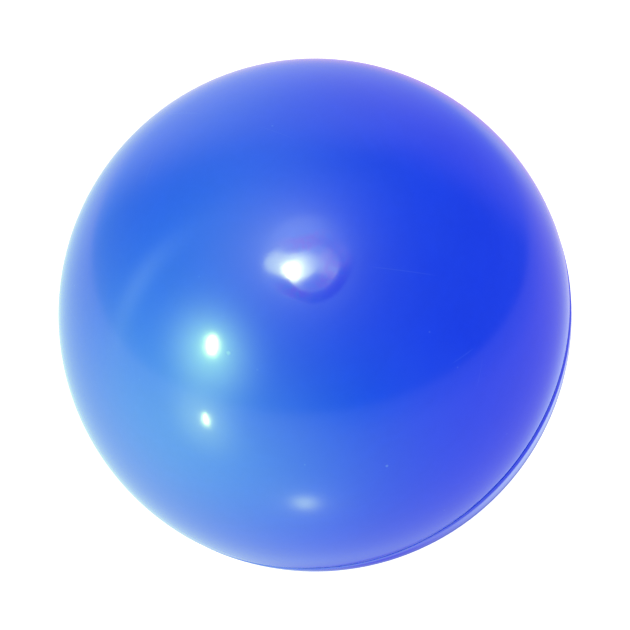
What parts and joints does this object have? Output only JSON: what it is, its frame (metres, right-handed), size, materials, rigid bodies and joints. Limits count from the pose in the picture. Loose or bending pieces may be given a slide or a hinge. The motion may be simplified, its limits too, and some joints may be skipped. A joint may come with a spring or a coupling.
{
  "type": "field hockey ball",
  "caption": "Smooth glossy hard ball for field hockey: moulded plastic half covers, keyed and welded at a grooved equatorial seam, around a light cork composition core.",
  "frame": {"origin": "centre of the ball", "axes": "+Z along the moulding axis, from the lower half cover's pole to the upper half cover's pole. The parting plane is the XY plane. X and Y are any two directions in it, because the ball is round about Z."},
  "size_m": [0.073, 0.073, 0.073],
  "materials": {
    "cover_plastic": "vivid blue moulded PVC, smooth and glossy with light handling scratches",
    "weld_plastic": "fused plastic of the cover's blue at the bottom of the parting groove, a little darker and duller",
    "cork_composition": "brown cork granules bound in rubber, matt"
  },
  "bodies": {
    "root": {"upper_half_cover": "cover_plastic", "lower_half_cover": "cover_plastic", "seam_weld": "weld_plastic", "core": "cork_composition"}
  },
  "joints": []
}
